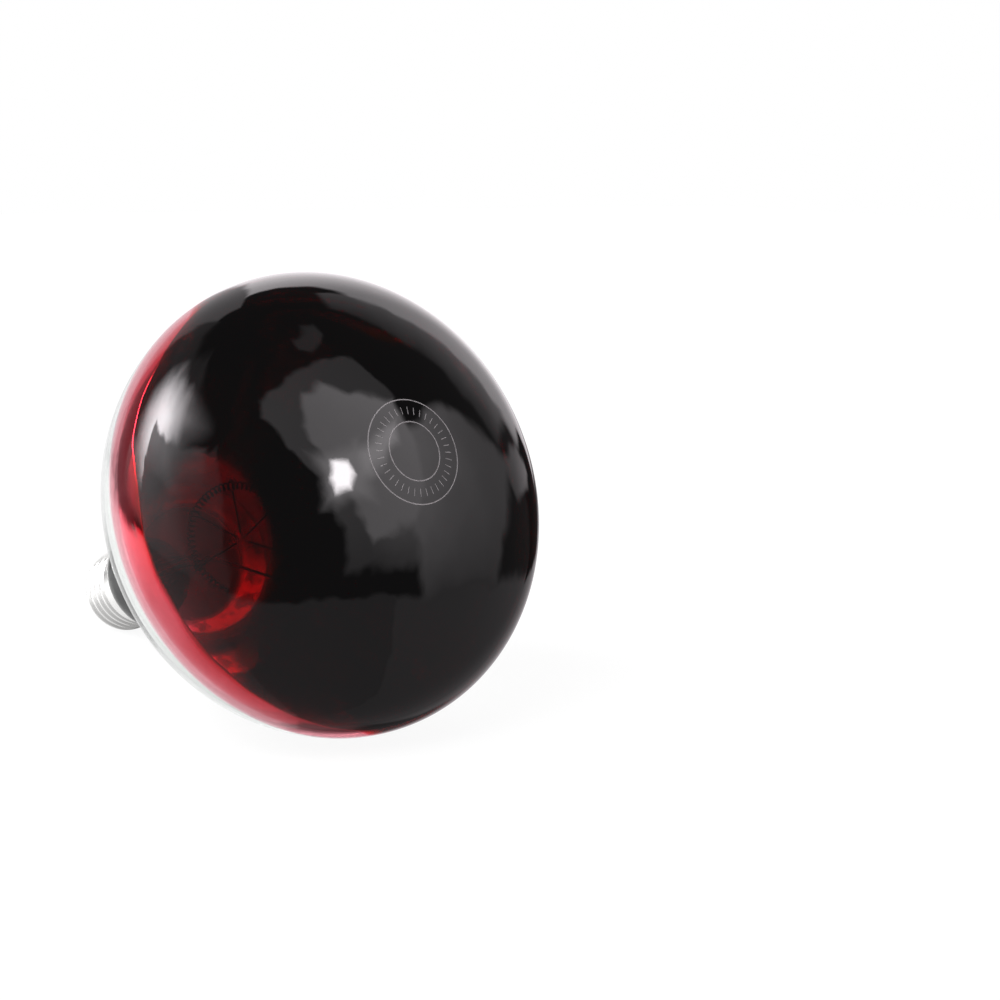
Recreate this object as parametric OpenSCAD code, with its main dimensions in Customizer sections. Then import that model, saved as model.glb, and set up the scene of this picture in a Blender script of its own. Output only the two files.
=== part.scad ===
// Screw-in infrared heat lamp with a ruby face, lying on its rim and its cap.
// Each piece is drawn about the lamp's own axis, with z = 0 at the end of the cap
// and the face upwards, and is then laid down by laid().

/* [Bulb] */
// Largest diameter of the bulb, at its rim
bulb_d = 125; // [110:0.5:140]
// Height of the face's crown above the widest circle
face_h = 31; // [27:0.5:36]
// Radius of the rim's curve in front of the widest circle
front_rim_r = 20; // [14:0.5:24]
// Radius of the rim's curve behind the widest circle
back_rim_r = 36; // [28:0.5:42]
// Angle between the reflector cone and the lamp's axis
cone_angle = 28.5; // [24:0.5:33]
// Radius of the turn where the cone meets the neck's shoulder
mouth_turn_r = 5; // [3:0.5:8]
// Radius of the hollow where that shoulder runs into the neck
mouth_hollow_r = 4; // [3:0.5:8]
// Steepest angle of the shoulder between cone and neck
mouth_angle = 75; // [55:1:85]
// Outer diameter of the neck
neck_d = 36; // [32:0.5:42]
// Length of the neck's straight part
neck_len = 18.5; // [8:0.5:30]
// Radius of both curves that draw the neck in towards the cap
foot_turn_r = 8; // [6:0.5:12]
// How far below the cap's rim the glass starts to widen
foot_sink = 3.5; // [2:0.1:4]
// Thickness of the blown glass
glass_wall = 1; // [0.7:0.05:1.3]

/* [Coatings] */
// Thickness of the ruby coat on the face
coat_t = 0.15; // [0.1:0.01:0.3]
// How far the ruby coat reaches behind the widest circle
coat_reach = 2; // [1.2:0.1:5]
// Thickness of the silvered coat on the reflector's inner side
silver_t = 0.12; // [0.1:0.01:0.3]
// How far the silver reaches in front of the widest circle, to the nearest step of the outline
silver_reach = 7.5; // [2:0.5:11]

/* [Screw cap] */
// Diameter over the thread's crests
thread_d = 26.3; // [26.05:0.05:26.45]
// Diameter at the thread's roots
root_d = 24.4; // [24.26:0.02:24.66]
// Distance between two crests of the thread
thread_pitch = 3.629; // [3.4:0.001:3.8]
// Height of the rolled thread
thread_h = 15.3; // [12:0.1:18]
// Height over which the thread rises out of the lip and runs out into the barrel
fade_h = 1.45; // [1:0.05:2]
// Outer diameter of the smooth barrel above the thread
barrel_d = 26.4; // [26.35:0.05:26.8]
// Height of the smooth barrel
barrel_h = 6; // [4:0.5:9]
// Thickness of the cap's sheet metal
shell_wall = 0.3; // [0.2:0.02:0.4]
// Diameter of the opening in the shell's lower lip
lip_d = 20.4; // [18:0.1:21.5]
// Height of the lower lip, where the shell turns in
lip_h = 1; // [0.8:0.1:1.6]
// Height of the black glass cone below the lip
cone_h = 2.4; // [1.6:0.1:4]
// Depth of the black glass inside the shell, above the lip
plug_h = 3.8; // [2.5:0.1:5]
// Thickness of the black glass floor over the contact
floor_t = 3; // [2:0.1:4]
// Width of the black glass wall at its top, inside the shell
plug_wall = 1.8; // [1.2:0.1:2.4]
// Width of the black glass edge that shows round the centre contact
contact_edge = 0.5; // [0.3:0.1:1]
// Diameter of the centre contact
contact_d = 9.6; // [8:0.1:11]
// Thickness of the centre contact
contact_t = 0.8; // [0.5:0.05:1.2]
// Diameter of the solder on the centre contact
solder_d = 5.2; // [3:0.1:7]
// Height of the solder below the centre contact
solder_h = 1; // [0.5:0.05:1.5]

/* [Stem] */
// How far the bulb's glass reaches down into the cap
foot_depth = 13; // [11:0.5:15]
// Outer diameter of the flare tube
stem_d = 15; // [13:0.5:17]
// Thickness of the flare tube's glass
stem_wall = 0.9; // [0.7:0.05:1.1]
// Length of the flare tube from its foot to the press
stem_len = 26; // [20:0.5:34]
// Height over which the tube is pressed flat
pinch_h = 6; // [4:0.5:9]
// Width of the press
press_w = 13; // [12:0.5:14.5]
// Thickness of the press
press_t = 3.6; // [3:0.1:5]
// Height of the press
press_h = 11; // [8:0.5:15]
// Glass left outside each lead in the press
press_edge = 2.5; // [2.2:0.1:3.5]
// Outer diameter of the exhaust tube
exhaust_d = 4; // [3:0.1:5]
// Thickness of the exhaust tube's glass
exhaust_wall = 0.6; // [0.4:0.05:0.9]
// How far the sealed end of the exhaust tube reaches below the flare
exhaust_reach = 3; // [2:0.1:3.5]
// Diameter of the glass rod that stands on the press
arbor_d = 3.2; // [2.4:0.1:5]
// Length of the glass rod up to the middle of its button
arbor_len = 32; // [22:0.5:40]
// Diameter of the button at the rod's top
button_d = 6.4; // [5.6:0.1:9]
// Thickness of the button
button_t = 2.4; // [2:0.1:4]

/* [Filament and wires] */
// Diameter of the ring in which the filament lies
ring_d = 32; // [26:0.5:36]
// Part of the ring that stays open between the two leads
ring_gap = 80; // [50:1:110]
// Outer diameter of the coiled filament
coil_d = 2.4; // [2:0.1:3]
// Diameter of the tungsten wire
tungsten_d = 0.4; // [0.3:0.05:0.5]
// Number of curls of the filament
curls = 52; // [30:1:60]
// Length of each straight tail of the filament
tail_len = 3; // [2:0.1:5]
// Diameter of the leads above the press
lead_d = 1; // [0.8:0.05:1.3]
// Height above the press at which the leads lean out to the ring
lead_rise = 4; // [2:0.5:8]
// Thickness of the metal crimped round each tail of the filament
crimp_wall = 0.5; // [0.3:0.05:0.8]
// Length of a lead that is sealed in the press's top
lead_seat = 2; // [1:0.1:4]
// Diameter of the seal wires in the press
seal_d = 0.7; // [0.5:0.05:1]
// Diameter of the leads between press and cap
tail_wire_d = 0.5; // [0.4:0.05:0.7]
// Number of wires that support the filament
supports = 5; // [3:1:7]
// Diameter of a support wire
support_d = 0.5; // [0.4:0.05:0.6]
// Length of a support wire that is sealed in the button
support_seat = 1.2; // [0.8:0.1:1.6]
// How far each support wire's loop goes round the coil, in degrees
hook_turn = 330; // [270:5:340]

/* [Hidden] */

$fn = 72;
// Steps of long and of tight arcs in an outline, in degrees
wide_step = 2.5;
tight_step = 7.5;
// Room left round a piece that is sealed or cemented into another
seal_gap = 0.05;
// Room left round a piece that is slipped in
slip_gap = 0.25;
// How much the rolled sheet is thinner on each side than the rings it joins
seam = 0.04;
// Stretch in front of the ruby coat's edge that is drawn in finer steps
coat_edge_h = 0.8;
// Radius to which the wires are bent
wire_bend_r = 1.2;
// How much a wire is thicker in its bends, and how far its straight runs reach into them
bend_swell = 1.04;
bend_lap = 0.1;
// How far a cut runs past the face that it opens
cut_over = 1;

// Radii
bulb_r = bulb_d / 2;
neck_r = neck_d / 2;
crest_r = thread_d / 2;
root_r = root_d / 2;
barrel_r = barrel_d / 2;
stem_r = stem_d / 2;
lead_r = lead_d / 2;
tail_wire_r = tail_wire_d / 2;
ring_r = ring_d / 2;
tungsten_r = tungsten_d / 2;
coil_r = coil_d / 2 - tungsten_r;

// Heights on the cap
contact_z = solder_h;
cone_z = contact_z + contact_t;
lip_z = cone_z + cone_h;
thread_z = lip_z + lip_h;
barrel_z = thread_z + thread_h;
cap_top = barrel_z + barrel_h;

// The side lead runs up between the glass and the thread's roots
shell_inner_r = root_r - shell_wall;
side_lead_r = shell_inner_r - slip_gap - tail_wire_r;
foot_r = side_lead_r - tail_wire_r - slip_gap;
foot_z = cap_top - foot_depth;

// Curves that widen the foot to the neck, each turning through foot_angle
foot_angle = acos(1 - (neck_r - foot_r) / (2 * foot_turn_r));
foot_top = cap_top - foot_sink;
neck_z = foot_top + 2 * foot_turn_r * sin(foot_angle);
mouth_z = neck_z + neck_len;

// The side lead comes out between the glass and the barrel's rim
barrel_in_r = barrel_r - shell_wall;
rim_lead_r = (foot_radius(cap_top) + barrel_in_r) / 2;

// Centres of the two curves of the reflector's mouth
hollow_c = [neck_r + mouth_hollow_r, mouth_z];
turn_c = hollow_c + (mouth_turn_r + mouth_hollow_r) * [-cos(mouth_angle), sin(mouth_angle)];
// The cone runs from the mouth's turn to the back of the rim
rim_in_r = bulb_r - back_rim_r;
cone_rise = ((rim_in_r - turn_c[0]) + (back_rim_r - mouth_turn_r) * cos(cone_angle)) / tan(cone_angle);
rim_z = turn_c[1] + cone_rise + (back_rim_r - mouth_turn_r) * sin(cone_angle);
lamp_len = rim_z + face_h;

// The face is a spherical cap, tangent to the rim's front curve
front_in_r = bulb_r - front_rim_r;
face_r = (face_h * face_h - front_rim_r * front_rim_r + front_in_r * front_in_r)
    / (2 * (face_h - front_rim_r));
face_c = lamp_len - face_r;
face_angle = asin(front_in_r / (face_r - front_rim_r));
coat_angle = asin(coat_reach / back_rim_r);
edge_angle = asin((coat_reach - coat_edge_h) / back_rim_r);
// The silver ends under the ruby coat, on a point of the glass's own outline
front_angle = 90 - face_angle;
front_step = front_angle / ceil(front_angle / (tight_step / 2));
silver_angle = front_step * round(asin(silver_reach / front_rim_r) / front_step);

// Thread wave: its first full crest lies on the lamp's underside
wave_h = (crest_r - root_r) / 2;
crest_curve_r = pow(thread_pitch / 360 * 180 / PI, 2) / wave_h;
first_crest_z = thread_z + thread_pitch / 2;

// The lamp lies on the back of its rim and on the first crest
rest_run = rim_z - first_crest_z;
rest_drop = rim_in_r - (crest_r - crest_curve_r);
rest_tilt = asin((back_rim_r - crest_curve_r) / norm([rest_run, rest_drop]))
    + atan2(rest_drop, rest_run);
floor_z = rim_in_r * cos(rest_tilt) + back_rim_r - rim_z * sin(rest_tilt);
front_y = -face_c * cos(rest_tilt) - face_r;
back_y = contact_d / 2 * sin(rest_tilt) - contact_z * cos(rest_tilt);

// Heights and widths on the stem
pinch_z = foot_z + stem_len;
press_z = pinch_z + pinch_h;
press_top = press_z + press_h;
ring_z = press_top + arbor_len;
slot_w = press_w - 3 * stem_wall;
slot_t = max(tail_wire_d, stem_wall) + seal_gap;
lead_x = press_w / 2 - press_edge;
stem_in_r = stem_r - stem_wall;
// The exhaust tube ends where the flattened hollow grows narrower than it
exhaust_top = pinch_z + pinch_h * (stem_in_r - exhaust_d / 2 - seal_gap) / (stem_in_r - slot_t / 2);
exhaust_end = foot_z - stem_wall - exhaust_reach;
button_edge = button_t / 2;

// Filament and what holds it
ring_start = -90 + ring_gap / 2;
ring_span = 360 - ring_gap;
coil_steps = 8;
coil_sides = 6;
hook_r = coil_r + tungsten_r + slip_gap + support_d / 2;
hook_depth = button_d / 2 - support_seat;
crimp_r = tungsten_r + crimp_wall;
crimp_z = ring_z + coil_r;
lead_bend_z = press_top + lead_rise;
side_turn_z = (foot_z - stem_wall + thread_z + plug_h) / 2;
side_tail_path = [[-lead_x, 0, press_z - seal_gap], [-lead_x, 0, side_turn_z],
    [-side_lead_r, 0, side_turn_z], [-side_lead_r, 0, barrel_z], [-rim_lead_r, 0, cap_top]];

thread_sides = 36;
thread_steps = 8;
cement_steps = 8;

// Points of an arc, from angle a to angle b
function arc(c, r, a, b, step) =
    let (n = max(2, ceil(abs(b - a) / step)))
    [for (i = [0 : n]) c + r * [cos(a + (b - a) * i / n), sin(a + (b - a) * i / n)]];

// Radius of the bulb's foot at height z, where the glass widens
function foot_radius(z) =
    foot_r + foot_turn_r - sqrt(pow(foot_turn_r, 2) - pow(max(0, z - foot_top), 2));

function reversed(v) = [for (i = [len(v) - 1 : -1 : 0]) v[i]];
function unit(v) = v / norm(v);
function smooth(t) = let (k = min(1, max(0, t))) k * k * (3 - 2 * k);
// Point of the ring in which the filament lies
function on_ring(a, r, z) = [r * cos(a), r * sin(a), z];

// The bulb's outline, moved inwards by e, in stretches that its coats share
function front_line(e, from) =
    arc([front_in_r, rim_z], front_rim_r - e, from, 0, tight_step / 2);
function face_line(e) = concat(
    arc([0, face_c], face_r - e, 90, front_angle, wide_step),
    front_line(e, front_angle));
function rim_line(e, from, to) =
    arc([rim_in_r, rim_z], back_rim_r - e, -from, -to, wide_step);
function edge_line(e) = concat(
    rim_line(e, 0, edge_angle),
    rim_line(e, edge_angle, coat_angle));
function mouth_line(e) = concat(
    arc(turn_c, mouth_turn_r - e, -cone_angle, -mouth_angle, tight_step),
    arc(hollow_c, mouth_hollow_r + e, 180 - mouth_angle, 180, tight_step));
function neck_line(e) = concat(
    arc([neck_r - foot_turn_r, neck_z], foot_turn_r - e, 0, -foot_angle, tight_step),
    arc([foot_r + foot_turn_r, foot_top], foot_turn_r + e, 180 - foot_angle, 180, tight_step),
    [[foot_r - e, foot_z]]);
function bulb_line(e) = concat(
    face_line(e),
    edge_line(e),
    rim_line(e, coat_angle, cone_angle),
    mouth_line(e),
    neck_line(e));
function coat_line(e) = concat(
    face_line(e),
    edge_line(e));
function silver_line(e) = concat(
    front_line(e, silver_angle),
    edge_line(e),
    rim_line(e, coat_angle, cone_angle),
    mouth_line(e));

// Lays the upright lamp down with its face tilted up and its box centred over the origin
module laid() {
    translate([0, -(front_y + back_y) / 2, floor_z])
        rotate([90 - rest_tilt, 0, 0])
            children();
}

module turned(outline) {
    rotate_extrude() polygon(outline);
}

// Angle by which a wire turns at its point i, and the length that this bend takes from each run
function bend_angle(points, i) =
    i == 0 || i == len(points) - 1 ? 0
    : acos(unit(points[i] - points[i - 1]) * unit(points[i + 1] - points[i]));
function bend_length(points, i) = wire_bend_r * tan(bend_angle(points, i) / 2);

// A round wire through the given points, bent round each one between its ends
module wire(points, d) {
    last = len(points) - 1;
    for (i = [0 : last - 1]) {
        way = unit(points[i + 1] - points[i]);
        from = i == 0 ? 0 : bend_length(points, i) - bend_lap;
        to = i + 1 == last ? 0 : bend_length(points, i + 1) - bend_lap;
        translate(points[i] + from * way)
            rotate([0, acos(way[2]), atan2(way[1], way[0])])
                cylinder(d = d, h = norm(points[i + 1] - points[i]) - from - to);
    }
    if (last > 1)
        for (i = [1 : last - 1])
            wire_bend(points, i, d * bend_swell);
}

module wire_bend(points, i, d) {
    before = unit(points[i] - points[i - 1]);
    after = unit(points[i + 1] - points[i]);
    inward = unit(after - (after * before) * before);
    side = cross(before, inward);
    centre = points[i] - bend_length(points, i) * before + wire_bend_r * inward;
    multmatrix([for (k = [0 : 2]) [-inward[k], before[k], side[k], centre[k]]])
        rotate_extrude(angle = bend_angle(points, i))
            translate([wire_bend_r, 0]) circle(d = d);
}

module glass_bulb() {
    laid() color([0.85, 0.88, 0.9, 0.5])
        turned(concat(bulb_line(0), reversed(bulb_line(glass_wall))));
}

module ruby_face_coat() {
    laid() color([0.35, 0.02, 0.05])
        turned(concat(coat_line(-coat_t), reversed(coat_line(0))));
}

module silver_reflector_coat() {
    laid() color([0.85, 0.85, 0.87])
        turned(concat(silver_line(glass_wall), reversed(silver_line(glass_wall + silver_t))));
}

// Radius of the rolled thread at height h above its start: it rises out of the root
// and runs out into the barrel, winding to the right
function thread_radius(h, a) =
    let (rise = smooth(h / fade_h))
    let (runout = smooth((h - thread_h + fade_h) / fade_h))
    let (turns = (h + thread_z - first_crest_z) / thread_pitch - (a + 90) / 360)
    let (wave = root_r + wave_h * rise * (1 + cos(360 * turns)))
    wave + (barrel_r - wave) * runout;

// The skin's sides are turned by half a side, so that the lamp lies on a flat one
module rolled_thread() {
    rings = round(thread_h / thread_pitch * thread_steps);
    skin = [for (wall = [0, shell_wall - 3 * seam]) for (i = [0 : rings]) for (j = [0 : thread_sides - 1])
        let (h = thread_h * i / rings)
        let (a = 360 * (j + 0.5) / thread_sides)
        on_ring(a, thread_radius(h, a) - seam - wall, thread_z + h)];
    inner = (rings + 1) * thread_sides;
    function at(wall, i, j) = wall * inner + i * thread_sides + j % thread_sides;
    sides = [for (i = [0 : rings - 1]) for (j = [0 : thread_sides - 1]) each [
        [at(0, i, j), at(0, i + 1, j), at(0, i + 1, j + 1)],
        [at(0, i, j), at(0, i + 1, j + 1), at(0, i, j + 1)],
        [at(1, i, j), at(1, i + 1, j + 1), at(1, i + 1, j)],
        [at(1, i, j), at(1, i, j + 1), at(1, i + 1, j + 1)]]];
    ends = [for (j = [0 : thread_sides - 1]) each [
        [at(0, 0, j), at(0, 0, j + 1), at(1, 0, j + 1)],
        [at(0, 0, j), at(1, 0, j + 1), at(1, 0, j)],
        [at(0, rings, j), at(1, rings, j + 1), at(0, rings, j + 1)],
        [at(0, rings, j), at(1, rings, j), at(1, rings, j + 1)]]];
    polyhedron(points = skin, faces = concat(sides, ends));
}

module screw_shell() {
    laid() color([0.78, 0.78, 0.8]) {
        turned([
            [lip_d / 2, lip_z],
            [root_r, thread_z],
            [shell_inner_r, thread_z],
            [lip_d / 2, lip_z + shell_wall]]);
        rolled_thread();
        translate([0, 0, barrel_z])
            difference() {
                cylinder(r = barrel_r, h = barrel_h);
                translate([0, 0, -cut_over])
                    cylinder(r = barrel_in_r, h = barrel_h + 2 * cut_over);
            }
    }
}

module black_glass_insulator() {
    plug_r = shell_inner_r - slip_gap;
    plug_top = thread_z + plug_h;
    hole_r = tail_wire_r + slip_gap;
    laid() color([0.08, 0.07, 0.08])
        turned([
            [hole_r, cone_z],
            [contact_d / 2 + contact_edge, cone_z],
            [lip_d / 2, lip_z],
            [lip_d / 2, lip_z + shell_wall],
            [plug_r, thread_z],
            [plug_r, plug_top],
            [plug_r - plug_wall, plug_top],
            [contact_d / 2, cone_z + floor_t],
            [hole_r, cone_z + floor_t]]);
}

module centre_contact() {
    laid() color([0.75, 0.6, 0.3])
        translate([0, 0, contact_z])
            difference() {
                cylinder(d = contact_d, h = contact_t);
                translate([0, 0, -cut_over])
                    cylinder(r = tail_wire_r + slip_gap, h = contact_t + 2 * cut_over);
            }
}

module centre_solder() {
    dome_r = (solder_d * solder_d / 4 + solder_h * solder_h) / (2 * solder_h);
    laid() color([0.7, 0.7, 0.72])
        intersection() {
            translate([0, 0, dome_r]) sphere(r = dome_r);
            cylinder(d = solder_d, h = solder_h);
        }
}

module side_solder() {
    blob_r = barrel_r - rim_lead_r;
    laid() color([0.7, 0.7, 0.72])
        translate([-rim_lead_r, 0, cap_top])
            intersection() {
                sphere(r = blob_r);
                cylinder(r = blob_r, h = blob_r);
            }
}

// The cement fills the barrel up to the widening glass, round the side lead
module basing_cement() {
    low = barrel_z + slip_gap;
    high = cap_top - slip_gap;
    out_r = barrel_in_r - seal_gap;
    inside = [for (i = [0 : cement_steps])
        let (z = low + (high - low) * i / cement_steps)
        [foot_radius(z) + seal_gap, z]];
    laid() color([0.75, 0.7, 0.62])
        difference() {
            turned(concat([[out_r, high], [out_r, low]], inside));
            wire([side_tail_path[3], side_tail_path[4]], tail_wire_d + 2 * seal_gap);
        }
}

// The tube's widened foot, seen in half section: e moves the line into the glass
function flare_line(e) =
    let (foot_in_r = foot_r - glass_wall)
    let (flare_r = foot_in_r - stem_r)
    concat(
        [[foot_r, foot_z - e], [foot_in_r, foot_z - e]],
        arc([foot_in_r, foot_z + flare_r], flare_r + e, 270, 180, tight_step),
        [[stem_r - e, pinch_z]]);

module pinched(w, t, r) {
    hull() {
        translate([0, 0, pinch_z]) cylinder(r = r, h = seal_gap, $fn = 32);
        translate([-w / 2, -t / 2, press_z - seal_gap]) cube([w, t, seal_gap]);
    }
}

module flare_stem() {
    laid() color([0.8, 0.85, 0.88, 0.6])
        difference() {
            union() {
                turned(concat(flare_line(0), reversed(flare_line(stem_wall))));
                difference() {
                    union() {
                        pinched(press_w, press_t, stem_r);
                        translate([-press_w / 2, -press_t / 2, press_z - seal_gap])
                            cube([press_w, press_t, press_h + seal_gap]);
                    }
                    pinched(slot_w, slot_t, stem_in_r);
                }
            }
            for (side = [-1, 1]) translate([side * lead_x, 0, 0]) {
                translate([0, 0, press_z - cut_over])
                    cylinder(r = seal_d / 2 + seal_gap, h = press_h + cut_over);
                translate([0, 0, press_top - lead_seat])
                    cylinder(r = lead_r + seal_gap, h = lead_seat + cut_over);
            }
        }
}

module exhaust_tube() {
    tip_r = exhaust_d / 2;
    laid() color([0.8, 0.85, 0.88, 0.6])
        difference() {
            union() {
                translate([0, 0, exhaust_end + tip_r]) sphere(r = tip_r);
                translate([0, 0, exhaust_end + tip_r])
                    cylinder(r = tip_r, h = exhaust_top - exhaust_end - tip_r);
            }
            translate([0, 0, exhaust_end + tip_r])
                cylinder(r = tip_r - exhaust_wall, h = exhaust_top - exhaust_end);
        }
}

// Angle of each support wire round the ring
function support_angle(i) = ring_start + ring_span * (i + 0.5) / supports;

module arbor_rod() {
    laid() color([0.8, 0.85, 0.88, 0.6])
        difference() {
            union() {
                translate([0, 0, press_top]) cylinder(d = arbor_d, h = arbor_len);
                translate([0, 0, ring_z - button_edge])
                    cylinder(r = button_d / 2 - button_edge, h = button_t);
                translate([0, 0, ring_z])
                    rotate_extrude()
                        translate([button_d / 2 - button_edge, 0]) circle(r = button_edge);
            }
            for (i = [0 : supports - 1])
                translate([0, 0, ring_z])
                    rotate([0, 90, support_angle(i)])
                        cylinder(r = support_d / 2 + seal_gap, h = button_d);
        }
}

// Middle line of the coiled filament: a straight tail, the curls, a straight tail
function coil_point(t) =
    let (a = ring_start + ring_span * t)
    on_ring(a, ring_r + coil_r * sin(360 * curls * t), ring_z + coil_r * cos(360 * curls * t));
function coil_side(t) =
    let (a = ring_start + ring_span * t)
    on_ring(a, sin(360 * curls * t), cos(360 * curls * t));
function tail_way(a) = [-sin(a), cos(a), 0];

module filament() {
    n = curls * coil_steps;
    tail_a = ring_start;
    tail_b = ring_start + ring_span;
    path = concat(
        [coil_point(0) - tail_len * tail_way(tail_a), coil_point(0) - tungsten_d * tail_way(tail_a)],
        [for (i = [0 : n]) coil_point(i / n)],
        [coil_point(1) + tungsten_d * tail_way(tail_b), coil_point(1) + tail_len * tail_way(tail_b)]);
    out = concat([coil_side(0), coil_side(0)], [for (i = [0 : n]) coil_side(i / n)], [coil_side(1), coil_side(1)]);
    last = len(path) - 1;
    skin = [for (i = [0 : last])
        let (along = unit(path[min(i + 1, last)] - path[max(i - 1, 0)]))
        let (up = unit(out[i] - (out[i] * along) * along))
        let (across = cross(along, up))
        for (j = [0 : coil_sides - 1])
            let (a = 360 * j / coil_sides)
            path[i] + tungsten_r * (cos(a) * up + sin(a) * across)];
    walls = [for (i = [0 : last - 1]) for (j = [0 : coil_sides - 1])
        let (k = (j + 1) % coil_sides)
        each [
            [i * coil_sides + j, (i + 1) * coil_sides + j, (i + 1) * coil_sides + k],
            [i * coil_sides + j, (i + 1) * coil_sides + k, i * coil_sides + k]]];
    caps = [[for (j = [0 : coil_sides - 1]) j],
        [for (j = [coil_sides - 1 : -1 : 0]) last * coil_sides + j]];
    least = min([for (i = [0 : last - coil_steps - 3]) for (k = [coil_steps - 3 : coil_steps + 3])
        norm(path[i] - path[i + k])]) - tungsten_d;
    echo(least_gap_between_curls_mm = least);
    laid() color([0.45, 0.45, 0.47])
        polyhedron(points = skin, faces = concat(walls, caps));
}

// A lead rises from the press, leans out to the ring and grips the filament's tail
module lead(side) {
    end = on_ring(ring_start, ring_r, crimp_z);
    grip = end - tail_len / 2 * tail_way(ring_start);
    flip = side > 0 ? [0, 0, 0] : [1, 0, 0];
    laid() color([0.6, 0.58, 0.55])
        mirror(flip)
            difference() {
                union() {
                    wire([[lead_x, 0, press_top - lead_seat], [lead_x, 0, lead_bend_z], grip], lead_d);
                    translate(grip)
                        rotate([90, 0, ring_start])
                            cylinder(r = crimp_r, h = tail_len - tungsten_d, center = true);
                }
                translate(grip)
                    rotate([90, 0, ring_start])
                        cylinder(r = tungsten_r + seal_gap, h = tail_len + crimp_r, center = true);
            }
}

module seal_wire(side) {
    laid() color([0.7, 0.4, 0.3])
        translate([side * lead_x, 0, press_z - seal_gap])
            cylinder(d = seal_d, h = press_h - lead_seat + seal_gap);
}

module centre_tail_wire() {
    laid() color([0.8, 0.5, 0.3])
        wire([[lead_x, 0, press_z - seal_gap], [lead_x, 0, exhaust_end],
            [0, 0, cone_z + floor_t], [0, 0, contact_z]], tail_wire_d);
}

module side_tail_wire() {
    laid() color([0.8, 0.5, 0.3])
        wire(side_tail_path, tail_wire_d);
}

// A support wire stands out of the button and ends in an open loop round the coil
module support_wire(i) {
    laid() color([0.5, 0.5, 0.53])
        translate([0, 0, ring_z])
            rotate([0, 0, support_angle(i)]) {
                rotate([0, 90, 0]) translate([0, 0, hook_depth])
                    cylinder(d = support_d, h = ring_r - hook_r - hook_depth);
                translate([ring_r, 0, 0])
                    rotate([90, 0, 0]) rotate([0, 0, 180])
                        rotate_extrude(angle = hook_turn)
                            translate([hook_r, 0]) circle(d = support_d);
            }
}

echo(overall_length_mm = lamp_len, tilt_deg = rest_tilt);

glass_bulb();
ruby_face_coat();
silver_reflector_coat();
screw_shell();
black_glass_insulator();
centre_contact();
centre_solder();
side_solder();
basing_cement();
flare_stem();
exhaust_tube();
arbor_rod();
filament();
lead(1);  // lead_right
lead(-1);  // lead_left
seal_wire(1);  // seal_wire_right
seal_wire(-1);  // seal_wire_left
centre_tail_wire();
side_tail_wire();
for (i = [1 : supports])
    support_wire(i - 1);
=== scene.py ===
# %% [markdown]
# A screw-in infrared heat lamp lies on its rim and its cap on a white table.
# The imported model comes first. It fixes every size and place, so each piece made below
# lands where the real one is.
# %% Load the frame
import math

import bpy
from mathutils import Matrix, Vector


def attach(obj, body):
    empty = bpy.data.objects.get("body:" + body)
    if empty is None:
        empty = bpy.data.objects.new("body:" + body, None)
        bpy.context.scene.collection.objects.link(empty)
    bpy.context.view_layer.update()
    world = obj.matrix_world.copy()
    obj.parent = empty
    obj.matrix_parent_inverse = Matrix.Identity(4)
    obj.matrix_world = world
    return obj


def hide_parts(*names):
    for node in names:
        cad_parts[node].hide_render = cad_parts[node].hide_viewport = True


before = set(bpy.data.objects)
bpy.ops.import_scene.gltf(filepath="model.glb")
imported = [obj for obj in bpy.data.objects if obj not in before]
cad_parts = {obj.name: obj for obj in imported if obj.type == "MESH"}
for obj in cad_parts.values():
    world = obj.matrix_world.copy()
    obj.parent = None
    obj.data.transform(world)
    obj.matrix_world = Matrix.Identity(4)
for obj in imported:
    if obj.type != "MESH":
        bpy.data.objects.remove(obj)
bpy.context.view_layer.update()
bpy.ops.object.select_all(action="DESELECT")

# %% [markdown]
# The lamp is a body of revolution, so its pieces are made upright about the Z axis and
# laid down at the end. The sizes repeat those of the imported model, in millimetres:
# z = 0 is the end of the cap, and z grows towards the face.
# %% Sizes of the lamp
MM = 0.001
BULB_R = 62.5
FACE_H = 31.0
FRONT_RIM_R = 20.0
BACK_RIM_R = 36.0
CONE_ANGLE = 28.5
MOUTH_TURN_R = 5.0
MOUTH_HOLLOW_R = 4.0
MOUTH_ANGLE = 75.0
NECK_R = 18.0
FOOT_R = 10.9
FOOT_TURN_R = 8.0
FOOT_ANGLE = 56.2031
FOOT_Z = 13.5
FOOT_TOP = 23.0
NECK_Z = 36.2962
MOUTH_Z = 54.7962
RIM_Z = 141.036
LAMP_LEN = RIM_Z + FACE_H
TILT = 21.1708
FLOOR_Z = 9.7766
FRONT_Y = -167.687
BACK_Y = 0.801
GLASS_WALL = 1.0
COAT_T = 0.15
COAT_REACH = 2.0
SILVER_T = 0.12
SILVER_REACH = 7.34
print("lamp:", 2 * BULB_R, "mm across and", round(LAMP_LEN, 1), "mm long")

# %% [markdown]
# Laying the lamp down is one turn about X and one move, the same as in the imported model.
# The table's surface is z = 0.
# %% Lay the lamp down
LAID_TURN = math.radians(90 - TILT)
LAID_MOVE = Vector((0, -(FRONT_Y + BACK_Y) / 2, FLOOR_Z)) * MM
LAID = Matrix.Translation(LAID_MOVE) @ Matrix.Rotation(LAID_TURN, 4, "X")


def lay_down(piece, body="root"):
    """Puts an upright piece where the lamp lies, and keeps its place in its mesh."""
    bpy.ops.object.select_all(action="DESELECT")
    piece.matrix_world = LAID
    piece.select_set(True)
    bpy.context.view_layer.objects.active = piece
    bpy.ops.object.transform_apply(location=True, rotation=True, scale=True)
    piece.select_set(False)
    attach(piece, body)
    print(piece.name, "faces:", len(piece.data.polygons))


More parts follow.
